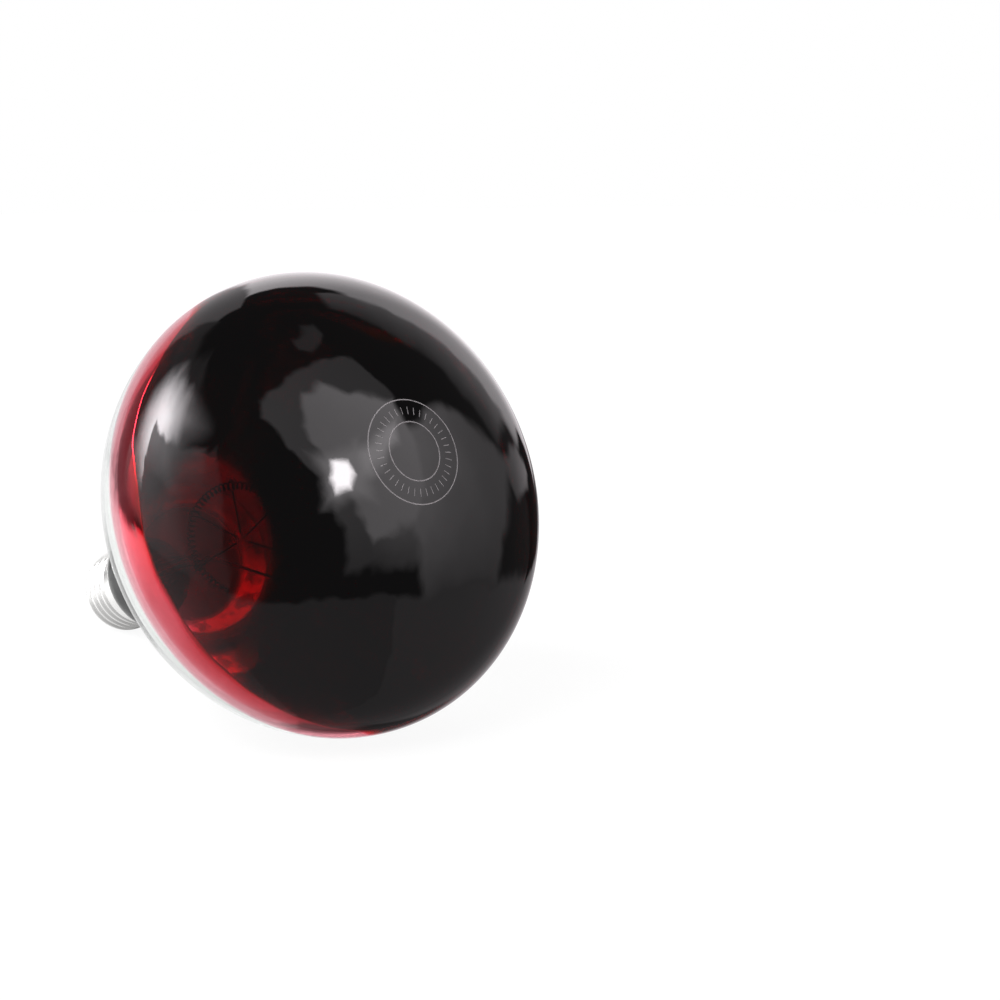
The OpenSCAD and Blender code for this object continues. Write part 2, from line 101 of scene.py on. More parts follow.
# %% [markdown]
# The bulb's half section is a chain of arcs and straight lines that run into each other
# without a kink: the flat dome, the tight front of the rim, its wide back, the cone, the
# two small turns of the mouth, the neck and its foot. Because every arc shares a centre
# with its offset, the inner face of the glass is the same chain with other radii, and the
# wall stays even.
# %% The bulb's outline
FRONT_IN = BULB_R - FRONT_RIM_R
RIM_IN = BULB_R - BACK_RIM_R
FACE_R = (FACE_H**2 - FRONT_RIM_R**2 + FRONT_IN**2) / (2 * (FACE_H - FRONT_RIM_R))
FACE_C = LAMP_LEN - FACE_R
FACE_ANGLE = math.degrees(math.asin(FRONT_IN / (FACE_R - FRONT_RIM_R)))
COAT_ANGLE = math.degrees(math.asin(COAT_REACH / BACK_RIM_R))
SILVER_ANGLE = math.degrees(math.asin(SILVER_REACH / FRONT_RIM_R))
DOME_STEPS = 36
FRONT_STEPS = 20
BACK_STEPS = 30
COAT_STEPS = 3
TURN_STEPS = 10
HOLLOW_STEPS = 12
HOLLOW_C = (NECK_R + MOUTH_HOLLOW_R, MOUTH_Z)
TURN_C = (
    HOLLOW_C[0] - (MOUTH_TURN_R + MOUTH_HOLLOW_R) * math.cos(math.radians(MOUTH_ANGLE)),
    HOLLOW_C[1] + (MOUTH_TURN_R + MOUTH_HOLLOW_R) * math.sin(math.radians(MOUTH_ANGLE)),
)


def arc(centre, radius, start, end, steps):
    """Points of an arc, with angles in degrees."""
    turns = [math.radians(start + (end - start) * i / steps) for i in range(steps + 1)]
    return [(centre[0] + radius * math.cos(a), centre[1] + radius * math.sin(a)) for a in turns]


def face_line(e):
    """Dome and front of the rim, moved into the glass by e."""
    dome = arc((0, FACE_C), FACE_R - e, 90, 90 - FACE_ANGLE, DOME_STEPS)
    return dome + arc((FRONT_IN, RIM_Z), FRONT_RIM_R - e, 90 - FACE_ANGLE, 0, FRONT_STEPS)[1:]


def rim_line(e, start, end, steps):
    """Back of the rim, from one angle behind the widest circle to another."""
    return arc((RIM_IN, RIM_Z), BACK_RIM_R - e, -start, -end, steps)


def mouth_line(e):
    """The two turns where the cone runs into the neck."""
    turn = arc(TURN_C, MOUTH_TURN_R - e, -CONE_ANGLE, -MOUTH_ANGLE, TURN_STEPS)
    return turn + arc(HOLLOW_C, MOUTH_HOLLOW_R + e, 180 - MOUTH_ANGLE, 180, HOLLOW_STEPS)


def neck_line(e):
    """The neck, drawn in to the foot inside the cap."""
    turn = arc((NECK_R - FOOT_TURN_R, NECK_Z), FOOT_TURN_R - e, 0, -FOOT_ANGLE, HOLLOW_STEPS)
    foot_c = (FOOT_R + FOOT_TURN_R, FOOT_TOP)
    foot = arc(foot_c, FOOT_TURN_R + e, 180 - FOOT_ANGLE, 180, HOLLOW_STEPS)
    return turn + foot + [(FOOT_R - e, FOOT_Z)]


def bulb_line(e):
    """The whole bulb, from the crown to the foot."""
    rim = rim_line(e, 0, CONE_ANGLE, BACK_STEPS)[1:]
    return face_line(e) + rim + mouth_line(e) + neck_line(e)


print("dome radius:", round(FACE_R, 2), "points in the outline:", len(bulb_line(0)))

# %% [markdown]
# Blown glass is round about its axis, so each skin is one outline spun right round.
# A circle primitive gives as many points as the outline has; they are moved onto the
# outline, and the spin operator sweeps them. Where an outline begins and ends on the axis,
# merging the doubles closes the pole.
# %% Spin an outline
SPIN_STEPS = 240
WELD = 0.002


def spun(name, outline, steps=SPIN_STEPS):
    """A closed skin: the outline, given in radius and height, swept once round Z."""
    bpy.ops.object.select_all(action="DESELECT")
    bpy.ops.mesh.primitive_circle_add(vertices=len(outline), radius=MM, location=(0, 0, 0))
    piece = bpy.context.object
    piece.name = piece.data.name = name
    for vertex, (radius, height) in zip(piece.data.vertices, outline):
        vertex.co = (radius * MM, 0, height * MM)
    bpy.ops.object.mode_set(mode="EDIT")
    bpy.ops.mesh.select_all(action="SELECT")
    bpy.ops.mesh.spin(steps=steps, angle=math.tau, center=(0, 0, 0), axis=(0, 0, 1))
    bpy.ops.mesh.select_all(action="SELECT")
    bpy.ops.mesh.remove_doubles(threshold=WELD * MM)
    bpy.ops.mesh.delete_loose()
    bpy.ops.mesh.select_all(action="SELECT")
    bpy.ops.mesh.normals_make_consistent(inside=False)
    bpy.ops.object.mode_set(mode="OBJECT")
    bpy.ops.object.shade_smooth()
    return piece


def walled(outer, inner):
    """One closed outline from an outer line and an inner line that run the same way."""
    return outer + inner[::-1]


# %% [markdown]
# The glass bulb keeps its one millimetre wall, and the ruby glaze is a skin of its own on
# the outside of the dome. It could be painted on the glass by a mask, but a separate
# skin gets a real edge and a thickness. A gap far thinner than a hair parts it from the
# glass, so that a ray always knows which skin it meets first.
# %% Bulb and glaze
SKIN_GAP = 0.015
bulb = spun("blown_bulb", walled(bulb_line(0), bulb_line(GLASS_WALL)))
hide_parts("glass_bulb")
lay_down(bulb)

glaze = spun(
    "ruby_glaze",
    walled(
        face_line(-COAT_T) + rim_line(-COAT_T, 0, COAT_ANGLE, COAT_STEPS)[1:],
        face_line(-SKIN_GAP) + rim_line(-SKIN_GAP, 0, COAT_ANGLE, COAT_STEPS)[1:],
    ),
)
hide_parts("ruby_face_coat")
lay_down(glaze)

# %% [markdown]
# The silver is a skin on the inside of the cone, from the neck to a line in front of the
# widest circle. It could be a colour on the inner face of the glass, but a skin of its own
# can end in a wavy line. That line isn't level: the bulb hung askew when it was coated. It
# runs far forward on the left, and keeps close to the widest circle at the top and on the
# right.
# SILVER_EDGE gives its reach in millimetres by the angle round the axis in degrees, and
# EDGE_RIPPLES adds fine waves by their size, their count in one turn and their shift. The
# points in front of the widest circle are drawn along the rim's curve to that line.
# %% Silver skin
SILVER_STEPS = 14
SILVER_EDGE = [(0, 1.5), (100, 1.5), (112, 2.0), (128, 5.3), (138, 6.6), (152, 6.3), (162, 6.8)]
SILVER_EDGE += [(172, 9.2), (200, 9.0), (224, 8.2), (248, 6.2), (264, 3.6), (277, 1.5), (360, 1.5)]
EDGE_RIPPLES = [(0.2, 5, 1), (0.12, 11, 0), (0.1, 31, 0)]
IN_FRONT = 0.01


def silver_line(e):
    """From the silver's front line to the mouth of the neck."""
    front = arc((FRONT_IN, RIM_Z), FRONT_RIM_R - e, SILVER_ANGLE, 0, SILVER_STEPS)
    return front + rim_line(e, 0, CONE_ANGLE, BACK_STEPS)[1:] + mouth_line(e)


def silver_edge(angle):
    """How far the silver reaches in front of the widest circle, by the angle round the axis."""
    degrees = math.degrees(angle) % 360
    for (a0, reach0), (a1, reach1) in zip(SILVER_EDGE, SILVER_EDGE[1:]):
        if a0 <= degrees <= a1:
            level = reach0 + (reach1 - reach0) * (degrees - a0) / (a1 - a0)
    return level + sum(size * math.sin(count * angle + shift) for size, count, shift in EDGE_RIPPLES)


silver = spun(
    "reflector_silver",
    walled(silver_line(GLASS_WALL + SKIN_GAP), silver_line(GLASS_WALL + SILVER_T)),
)
for vertex in silver.data.vertices:
    out = math.hypot(vertex.co.x, vertex.co.y) / MM - FRONT_IN
    height = vertex.co.z / MM - RIM_Z
    if height > IN_FRONT:
        bend_r = math.hypot(out, height)
        reach = silver_edge(math.atan2(vertex.co.y, vertex.co.x))
        turn = math.atan2(height, out) * reach / SILVER_REACH
        scale = (FRONT_IN + bend_r * math.cos(turn)) / (out + FRONT_IN)
        vertex.co = (vertex.co.x * scale, vertex.co.y * scale, (RIM_Z + bend_r * math.sin(turn)) * MM)
silver.data.update()
reaches = [silver_edge(math.radians(degrees)) for degrees in range(360)]
print("silver's front line:", round(min(reaches), 1), "to", round(max(reaches), 1))
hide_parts("silver_reflector_coat")
lay_down(silver)

# %% [markdown]
# The cap is rolled from thin sheet: a lip, a thread and a smooth barrel in one skin.
# Its outline is spun as a plain shell first. Then each ring of points in the thread is
# moved out or in, so that the crest climbs one pitch in each turn. This gives a true helix
# that rises softly out of the lip and runs out into the barrel.
# %% Sizes and thread of the cap
ROOT_R = 12.2
CREST_R = 13.15
PITCH = 3.629
BARREL_R = 13.2
SHEET = 0.3
LIP_R = 10.2
LIP_Z = 4.2
LIP_ROUND = (0.9, 0.18)
LIP_SHOULDER = (0.3, 0.35)
THREAD_Z = 5.2
THREAD_H = 15.3
FADE_H = 1.45
BARREL_Z = 20.5
CAP_TOP = 26.5
FIRST_CREST = THREAD_Z + PITCH / 2
THREAD_RINGS = 96
BARREL_RINGS = 6
SHELL_STEPS = 192
ROLLED_EDGE = 0.12
SLACK = 0.001
print("thread:", round(THREAD_H / PITCH, 2), "turns, depth", round(CREST_R - ROOT_R, 2), "mm")


def eased(t):
    """A soft step from 0 to 1."""
    k = min(1.0, max(0.0, t))
    return k * k * (3 - 2 * k)


def thread_radius(height, turn):
    """Radius of the rolled thread at a height over its start and an angle in radians."""
    rise = eased(height / FADE_H)
    runout = eased((height - THREAD_H + FADE_H) / FADE_H)
    turns = (height + THREAD_Z - FIRST_CREST) / PITCH - turn / math.tau - 0.25
    wave = ROOT_R + (CREST_R - ROOT_R) / 2 * rise * (1 + math.cos(math.tau * turns))
    return wave + (BARREL_R - wave) * runout


# %% [markdown]
# The inside of the sheet is its outside moved inwards by the sheet's thickness. The top
# edge is broken, as a rolled edge is, so that it catches a thin line of light.
# %% Roll the screw shell
def shell_line(e):
    """Lip, thread and barrel, moved inwards by e; the thread is still a plain tube here."""
    lip = [(LIP_R, LIP_Z + e), (LIP_R + LIP_ROUND[0], LIP_Z + LIP_ROUND[1] + e)]
    lip += [(ROOT_R - LIP_SHOULDER[0] - e / 2, THREAD_Z - LIP_SHOULDER[1] + e)]
    rings = [(ROOT_R - e, THREAD_Z + THREAD_H * i / THREAD_RINGS) for i in range(THREAD_RINGS)]
    barrel_h = CAP_TOP - BARREL_Z - ROLLED_EDGE
    barrel = [(BARREL_R - e, BARREL_Z + barrel_h * i / BARREL_RINGS) for i in range(BARREL_RINGS + 1)]
    return lip + rings + barrel


top_edge = [(BARREL_R - ROLLED_EDGE, CAP_TOP), (BARREL_R - SHEET + ROLLED_EDGE, CAP_TOP)]
shell_outline = shell_line(0) + top_edge + shell_line(SHEET)[::-1]
shell = spun("rolled_screw_shell", shell_outline, steps=SHELL_STEPS)
for vertex in shell.data.vertices:
    radius = math.hypot(vertex.co.x, vertex.co.y)
    height = vertex.co.z / MM - THREAD_Z
    if -SLACK < height < THREAD_H - SLACK:
        grown = radius + (thread_radius(height, math.atan2(vertex.co.y, vertex.co.x)) - ROOT_R) * MM
        vertex.co.x *= grown / radius
        vertex.co.y *= grown / radius
shell.data.update()
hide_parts("screw_shell")
lay_down(shell)

# %% [markdown]
# The low end of the cap is seen from behind. Black glass is cast into the lip, and a
# brass plate is pressed into it. The glass is one outline in four stretches: the seat of
# the plate, the cone up to the lip, the plug inside the sheet and the hollow in it. Cast
# glass and pressed brass have no sharp edge, so their outlines are rounded where they show.
# %% Black glass and contact
CONE_Z = 1.8
PLUG_R = 11.65
PLUG_TOP = 9.0
CONTACT_R = 4.8
CONTACT_T = 0.8
CONTACT_Z = 1.0
CONTACT_EDGE = 0.3
LEAD_HOLE_R = 0.5
PLUG_EDGE = 0.4
PLUG_WALL = 1.6
PLUG_FLOOR = 3
SMALL_STEPS = 96
EDGE_STEPS = 5
seat = [(LEAD_HOLE_R, CONE_Z), (CONTACT_R + 0.12, CONE_Z)]
seat += [(CONTACT_R + 0.36, CONE_Z + 0.08), (CONTACT_R + 0.5, CONE_Z + 0.3)]
cone = [(6.9, 2.62), (8.6, 3.42), (9.8, 3.98), (LIP_R - 0.05, LIP_Z), (LIP_R, LIP_Z + SHEET)]
plug = [(PLUG_R, THREAD_Z + 0.02), (PLUG_R, PLUG_TOP - PLUG_EDGE)]
plug += [(PLUG_R - PLUG_EDGE, PLUG_TOP), (PLUG_R - PLUG_WALL, PLUG_TOP)]
hollow = [(CONTACT_R + 0.4, CONE_Z + PLUG_FLOOR + 0.1), (CONTACT_R - 0.2, CONE_Z + PLUG_FLOOR)]
hollow += [(LEAD_HOLE_R, CONE_Z + PLUG_FLOOR)]
black_glass = spun("cast_black_glass", seat + cone + plug + hollow, steps=SMALL_STEPS)
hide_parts("black_glass_insulator")
lay_down(black_glass)

round_c = (CONTACT_R - CONTACT_EDGE, CONTACT_Z + CONTACT_EDGE)
under = [(LEAD_HOLE_R, CONTACT_Z + 0.25), (0.9, CONTACT_Z), (CONTACT_R - CONTACT_EDGE, CONTACT_Z)]
side = arc(round_c, CONTACT_EDGE, 270, 360, EDGE_STEPS)[1:]
top = [(CONTACT_R, CONTACT_Z + CONTACT_T), (LEAD_HOLE_R, CONTACT_Z + CONTACT_T)]
plate = spun("contact_plate", under + side + top, steps=SMALL_STEPS)
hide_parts("centre_contact")
lay_down(plate)

# %% [markdown]
# A blob of solder starts as a sphere squeezed flat. Two slow waves in its outline keep
# it from looking turned on a lathe. One blob sits on the contact, another on the barrel's
# edge where the side lead comes out.
# %% Solder blobs
CONTACT_DROP = (2.444, 2.444, 0.95)
RIM_DROP = (0.85, 0.8, 0.75)
RIM_LEAD_R = 12.3031


def blob(name, centre, size, seed):
    """A frozen drop of metal; size holds its half widths along X, Y and Z of the upright lamp."""
    bpy.ops.object.select_all(action="DESELECT")
    bpy.ops.mesh.primitive_ico_sphere_add(subdivisions=5, radius=1, location=(0, 0, 0))
    drop = bpy.context.object
    drop.name = drop.data.name = name
    for vertex in drop.data.vertices:
        x, y, z = vertex.co
        turn = math.atan2(y, x)
        ripple = 1 + 0.035 * math.sin(3 * turn + seed) + 0.02 * math.sin(5 * turn + 2 * seed) * (1 - z * z)
        vertex.co = [MM * (c + s * v * ripple) for c, s, v in zip(centre, size, (x, y, z))]
    drop.data.update()
    bpy.ops.object.shade_smooth()
    return drop


contact_drop = blob("contact_solder_drop", (0, 0, CONTACT_Z + 0.02), CONTACT_DROP, 0.6)
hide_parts("centre_solder")
lay_down(contact_drop)
rim_drop = blob("rim_solder_drop", (-RIM_LEAD_R, 0, CAP_TOP + 0.05), RIM_DROP, 1.9)
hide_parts("side_solder")
lay_down(rim_drop)

# %% [markdown]
# The filament is tungsten wire curled to a fine coil, and the coil lies in an open
# ring. A ring of points is moved onto the middle line of the wire, and the one point that
# closes it is taken out. It is then turned into a curve, given a round section, and made a
# mesh again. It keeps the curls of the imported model, with far more points in each.
# %% Wind the filament
RING_R = 16.0
RING_Z = 88.5
RING_START = -50.0
RING_SPAN = 280.0
COIL_R = 1.0
TUNGSTEN_R = 0.2
CURLS = 52
CURL_STEPS = 20
TAIL_LEN = 3.0
TAIL_STEPS = 4
ROUNDING = 3


def coil_point(t):
    """Middle of the wire, for t from 0 to 1 along the coil."""
    turn = math.radians(RING_START + RING_SPAN * t)
    curl = math.tau * CURLS * t
    radius = RING_R + COIL_R * math.sin(curl)
    return Vector((radius * math.cos(turn), radius * math.sin(turn), RING_Z + COIL_R * math.cos(curl)))


def tail_way(t):
    """Direction of the ring, in which a tail runs on."""
    turn = math.radians(RING_START + RING_SPAN * t)
    return Vector((-math.sin(turn), math.cos(turn), 0))


steps = CURLS * CURL_STEPS
wire_path = [coil_point(0) - tail_way(0) * TAIL_LEN * (1 - i / TAIL_STEPS) for i in range(TAIL_STEPS)]
wire_path += [coil_point(i / steps) for i in range(steps + 1)]
wire_path += [coil_point(1) + tail_way(1) * TAIL_LEN * (i + 1) / TAIL_STEPS for i in range(TAIL_STEPS)]
bpy.ops.object.select_all(action="DESELECT")
bpy.ops.mesh.primitive_circle_add(vertices=len(wire_path) + 1, radius=MM, location=(0, 0, 0))
filament = bpy.context.object
filament.name = filament.data.name = "wound_filament"
for vertex, point in zip(filament.data.vertices, wire_path):
    vertex.co = point * MM
bpy.ops.object.mode_set(mode="EDIT")
bpy.ops.mesh.select_mode(type="VERT")
bpy.ops.mesh.select_all(action="DESELECT")
bpy.ops.object.mode_set(mode="OBJECT")
filament.data.vertices[len(wire_path)].select = True
bpy.ops.object.mode_set(mode="EDIT")
bpy.ops.mesh.delete(type="VERT")
bpy.ops.object.mode_set(mode="OBJECT")
bpy.ops.object.convert(target="CURVE")
filament = bpy.context.object
filament.data.bevel_depth = TUNGSTEN_R * MM
filament.data.bevel_resolution = ROUNDING
filament.data.use_fill_caps = True
bpy.ops.object.convert(target="MESH")
filament = bpy.context.object
bpy.ops.object.shade_smooth()
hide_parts("filament")
lay_down(filament)

# %% [markdown]
# Every finish is a tree of shader nodes. Such a tree could be drawn by hand in the editor,
# but written down it can be read and repeated. One helper adds a node, sets its values and
# joins its sockets, and the others are short names for the sums that come up often.
# %% Helpers for nodes
def add(tree, kind, inputs=None, **settings):
    """A new node. A value given as a socket is linked, any other is set on the input itself."""
    node = tree.nodes.new(kind)
    for name, value in settings.items():
        setattr(node, name, value)
    for name, value in (inputs or {}).items():
        if isinstance(value, bpy.types.NodeSocket):
            tree.links.new(value, node.inputs[name])
        else:
            node.inputs[name].default_value = value
    return node


def calc(tree, operation, *values):
    return add(tree, "ShaderNodeMath", dict(enumerate(values)), operation=operation).outputs[0]


def vector_calc(tree, operation, *values, output="Vector"):
    return add(tree, "ShaderNodeVectorMath", dict(enumerate(values)), operation=operation).outputs[output]


def ramp(tree, value, low, high, start=0.0, end=1.0, smooth=True):
    """Maps a value from low..high to start..end, with soft or straight ends."""
    kind = "SMOOTHSTEP" if smooth else "LINEAR"
    inputs = {"Value": value, "From Min": low, "From Max": high, "To Min": start, "To Max": end}
    return add(tree, "ShaderNodeMapRange", inputs, interpolation_type=kind).outputs["Result"]


def mix_colour(tree, factor, first, second):
    """Mixes two colours. Its sockets go by number, because several share a name."""
    node = tree.nodes.new("ShaderNodeMix")
    node.data_type = "RGBA"
    for index, value in ((0, factor), (6, first), (7, second)):
        if isinstance(value, bpy.types.NodeSocket):
            tree.links.new(value, node.inputs[index])
        else:
            node.inputs[index].default_value = value
    return node.outputs[2]


# %% [markdown]
# No surface is perfectly even. Noise makes the clouds and smears in a finish, and a bump
# tilts the light on it as if the skin had small hills. The last four helpers are the kinds
# of skin that a ray can meet, and the blend between two of them.
# %% Helpers for patterns and skins
def noise(tree, where, scale, detail=3.0, roughness=0.5, distortion=0.0):
    """Clouds between 0 and 1, about 1 / scale millimetres wide."""
    inputs = {"Vector": where, "Scale": scale, "Detail": detail}
    inputs |= {"Roughness": roughness, "Distortion": distortion}
    return add(tree, "ShaderNodeTexNoise", inputs).outputs["Fac"]


def bump(tree, height, strength, distance, normal=None):
    """Hills in the skin, distance millimetres high. A normal given is bent further."""
    inputs = {"Height": height, "Strength": strength, "Distance": distance * MM}
    if normal is not None:
        inputs["Normal"] = normal
    return add(tree, "ShaderNodeBump", inputs).outputs["Normal"]


def shine(tree, colour, rough, skin):
    """A reflection, the sharper the lower its roughness."""
    inputs = {"Color": colour, "Roughness": rough, "Normal": skin}
    return add(tree, "ShaderNodeBsdfAnisotropic", inputs).outputs[0]


def bare_metal(tree, tone, rough, skin):
    """Metal of one tone, with nothing over it."""
    inputs = {"Base Color": tone, "Metallic": 1.0, "Roughness": rough, "Normal": skin}
    return add(tree, "ShaderNodeBsdfPrincipled", inputs).outputs[0]


def see_through(tree, colour):
    """Light goes straight on and takes the colour."""
    return add(tree, "ShaderNodeBsdfTransparent", {"Color": colour}).outputs[0]


def blend(tree, share, first, second):
    """Goes from the first shader to the second as the share goes from 0 to 1."""
    return add(tree, "ShaderNodeMixShader", {"Fac": share, 1: first, 2: second}).outputs[0]


# %% [markdown]
# All patterns read the lamp's own axes: the object coordinates are turned back to the
# upright lamp and given in millimetres, so a finish can follow the height along the lamp
# or the distance from its axis. A pattern could instead be unwrapped onto each mesh, but
# here one pattern runs on from piece to piece.
# %% Helpers for a finish
AXES_TURN = Matrix.Rotation(-LAID_TURN, 3, "X")
AXES_MOVE = -(AXES_TURN @ LAID_MOVE)


def new_finish(name):
    """An empty material with its output, and the position in the upright lamp's axes in mm."""
    finish = bpy.data.materials.new(name)
    finish.use_nodes = True
    tree = finish.node_tree
    tree.nodes.clear()
    spot = add(tree, "ShaderNodeTexCoord").outputs["Object"]
    upright = {"Vector": spot, "Rotation": (-LAID_TURN, 0, 0), "Location": AXES_MOVE}
    turned = add(tree, "ShaderNodeMapping", upright)
    where = vector_calc(tree, "SCALE", turned.outputs["Vector"])
    where.node.inputs["Scale"].default_value = 1 / MM
    return finish, tree, where


def wear(finish, shader):
    """Makes a shader the surface of a finish."""
    tree = finish.node_tree
    add(tree, "ShaderNodeOutputMaterial", {"Surface": shader})


def axis_parts(tree, where):
    """Height along the lamp and distance from its axis, in mm."""
    apart = add(tree, "ShaderNodeSeparateXYZ", {"Vector": where})
    flat = add(tree, "ShaderNodeCombineXYZ", {"X": apart.outputs["X"], "Y": apart.outputs["Y"]})
    return apart.outputs["Z"], vector_calc(tree, "LENGTH", flat.outputs["Vector"], output="Value")


def dress(names, finish):
    """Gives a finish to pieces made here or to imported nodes, by name."""
    for name in names:
        slots = bpy.data.objects[name].data.materials
        slots.clear()
        slots.append(finish)
    print(finish.name, "on:", ", ".join(names))


# %% [markdown]
# Thin blown glass shows almost only its reflections: 4% where it is met head on, and far
# more at a glancing angle. A true refracting wall would cost many bounces and gain
# nothing at one millimetre, so light goes straight through a transparent skin, and a
# sharp reflection is mixed in by the angle. Slow waves in the surface bend those
# reflections as blown glass does, and a little dust takes the shine off in places. Under the
# coat the two skins of the wall share one reflection. The neck is greyed by a thin film of
# metal that has settled there.
# %% Clear glass
HEAD_ON = 0.04
UNDER_COAT = 0.5
NECK_FILM = 0.28
FILM_EDGE = (-3.0, 1.0)


def glancing(tree, normal, head_on=HEAD_ON):
    """Share of light that a clear skin reflects, by the angle at which it is met."""
    facing = add(tree, "ShaderNodeLayerWeight", {"Blend": 0.5, "Normal": normal}).outputs["Facing"]
    return calc(tree, "MULTIPLY_ADD", calc(tree, "POWER", facing, 5.0), 1 - head_on, head_on)


def glass_finish(name, tint, wave, film=None):
    """Thin glass; film is the share of light that each skin of the neck lets through."""
    finish, tree, where = new_finish(name)
    waves = noise(tree, where, 0.045, detail=1.0)
    skin = bump(tree, waves, wave, 1.0)
    smears = noise(tree, where, 0.16, detail=4.0, roughness=0.6, distortion=0.6)
    rough = ramp(tree, smears, 0.45, 0.8, 0.012, 0.06)
    gloss = shine(tree, (1, 1, 1, 1), rough, skin)
    tints = mix_colour(tree, smears, tint, [0.5 * c + 0.5 for c in tint])
    height, away = axis_parts(tree, where)
    if film is not None:
        film = ramp(tree, height, MOUTH_Z + FILM_EDGE[0], MOUTH_Z + FILM_EDGE[1], film, 1.0)
        film = add(tree, "ShaderNodeCombineColor", {0: film, 1: film, 2: film}).outputs[0]
        tints = vector_calc(tree, "MULTIPLY", tints, film)
    coated = ramp(tree, height, RIM_Z - COAT_REACH, RIM_Z, 1.0, UNDER_COAT)
    share = calc(tree, "MULTIPLY", glancing(tree, skin), coated)
    wear(finish, blend(tree, share, see_through(tree, tints), gloss))
    return finish


clear_glass = glass_finish("clear_glass", (0.975, 0.985, 0.98, 1), 0.25, film=NECK_FILM)
dress(["blown_bulb"], clear_glass)
stem_glass = glass_finish("stem_glass", (0.93, 0.96, 0.95, 1), 0.5)
dress(["flare_stem", "exhaust_tube", "arbor_rod"], stem_glass)

# %% [markdown]
# The face carries a plain mark, two rings with ticks between them. It could be a picture
# laid on the dome, but a mask worked out from distance and angle stays sharp at any size.
# %% Mark on the face
MARK_PLACE = (8.26, 5.91, 0)
MARK_OUTER_R = 14.0
MARK_INNER_R = 7.9
MARK_LINE = 0.26
MARK_TICKS = 36


def ring_mark(tree, where):
    """Mask of the plain mark: two rings, and ticks between them."""
    centred = vector_calc(tree, "SUBTRACT", where, MARK_PLACE)
    apart = add(tree, "ShaderNodeSeparateXYZ", {"Vector": centred})
    flat = add(tree, "ShaderNodeCombineXYZ", {"X": apart.outputs["X"], "Y": apart.outputs["Y"]})
    away = vector_calc(tree, "LENGTH", flat.outputs["Vector"], output="Value")
    lines = None
    for radius in (MARK_OUTER_R, MARK_INNER_R):
        off = calc(tree, "ABSOLUTE", calc(tree, "SUBTRACT", away, radius))
        line = ramp(tree, off, MARK_LINE * 0.7, MARK_LINE * 0.4)
        lines = line if lines is None else calc(tree, "MAXIMUM", lines, line)
    angle = calc(tree, "ARCTAN2", apart.outputs["Y"], apart.outputs["X"])
    turn = calc(tree, "FRACT", calc(tree, "MULTIPLY", angle, MARK_TICKS / math.tau))
    off = calc(tree, "MULTIPLY", calc(tree, "ABSOLUTE", calc(tree, "SUBTRACT", turn, 0.5)), away)
    tick = ramp(tree, off, MARK_LINE * 2.4, MARK_LINE * 1.6)
    band = calc(tree, "ABSOLUTE", calc(tree, "SUBTRACT", away, (MARK_OUTER_R + MARK_INNER_R) / 2))
    tick = calc(tree, "MULTIPLY", tick, ramp(tree, band, 1.1, 0.9))
    mask = calc(tree, "MAXIMUM", lines, tick)
    return calc(tree, "MULTIPLY", mask, calc(tree, "GREATER_THAN", apart.outputs["Z"], RIM_Z))


# %% [markdown]
# The ruby coat is a lacquer sprayed on the dome from the front, so it is thickest at the
# crown and thin at the rim. It is denser towards the right, and one spot on the left, in
# front of the neck, got less. Over the dark inside it looks nearly black, and over the
# silver's front edge, where it is thin, it glows red. Light is lost by thickness, so the tint
# is worked out as for coloured glass: each colour fades at its own rate, half in each skin.
# Only the outer skin reflects, because the inner one is fused to the glass.
# %% Ruby glaze
THIN_COAT = 0.16
THICK_COAT = 2.4
DENSE_COAT = 2.8
DENSE_FROM = 7.5
DENSE_TO = 16.0
DENSE_SIDE = (0.974, 0.225, 0)
DENSE_BAND = (-28.0, -8.0)
DENSE_SHIFT = 13.0
THIN_SPOT = (-46.5, -9.5, 0)
THIN_SIZE = (12.5, 23.0)
THIN_EDGE = (0.85, 1.15)
THIN_LEFT = 0.30
FADE_BY_COLOUR = (1.0, 7.0, 6.0)
SKIN_SHARE = 0.5
INK = (0.24, 0.22, 0.23, 1)
ruby, tree, where = new_finish("ruby_glaze")
dip_waves = noise(tree, where, 0.06, detail=2.0)
orange_peel = noise(tree, where, 0.9, detail=2.0)
skin = bump(tree, orange_peel, 0.04, 0.05, bump(tree, dip_waves, 0.06, 1.0))
cloud = noise(tree, where, 0.12, detail=4.0, roughness=0.6, distortion=0.8)
height, away = axis_parts(tree, where)
rise = ramp(tree, height, RIM_Z, LAMP_LEN, smooth=False)
thickness = calc(tree, "MULTIPLY_ADD", calc(tree, "MULTIPLY", rise, rise), THICK_COAT, THIN_COAT)
sideways = vector_calc(tree, "DOT_PRODUCT", where, DENSE_SIDE, output="Value")
leaning = calc(tree, "ADD", height, ramp(tree, sideways, *DENSE_BAND, 0.0, DENSE_SHIFT))
denser = ramp(tree, leaning, RIM_Z + DENSE_FROM, RIM_Z + DENSE_TO, 0.0, DENSE_COAT)
thickness = calc(tree, "ADD", thickness, denser)
off = vector_calc(tree, "SUBTRACT", where, THIN_SPOT)
off = vector_calc(tree, "MULTIPLY", off, (1 / THIN_SIZE[0], 1 / THIN_SIZE[1], 0))
off = vector_calc(tree, "LENGTH", off, output="Value")
in_spot = ramp(tree, off, *THIN_EDGE, THIN_LEFT, 1.0)
at_edge = ramp(tree, height, RIM_Z - COAT_REACH, RIM_Z + 1.0, 0.5, 1.0)
uneven = ramp(tree, cloud, 0.2, 0.8, 0.9, 1.1, smooth=False)
for factor in (in_spot, at_edge, uneven):
    thickness = calc(tree, "MULTIPLY", thickness, factor)
losses = [calc(tree, "MULTIPLY", thickness, -SKIN_SHARE * fade) for fade in FADE_BY_COLOUR]
shades = [calc(tree, "EXPONENT", loss) for loss in losses]
tint = add(tree, "ShaderNodeCombineColor", dict(enumerate(shades))).outputs[0]
rough = ramp(tree, cloud, 0.45, 0.85, 0.012, 0.04)
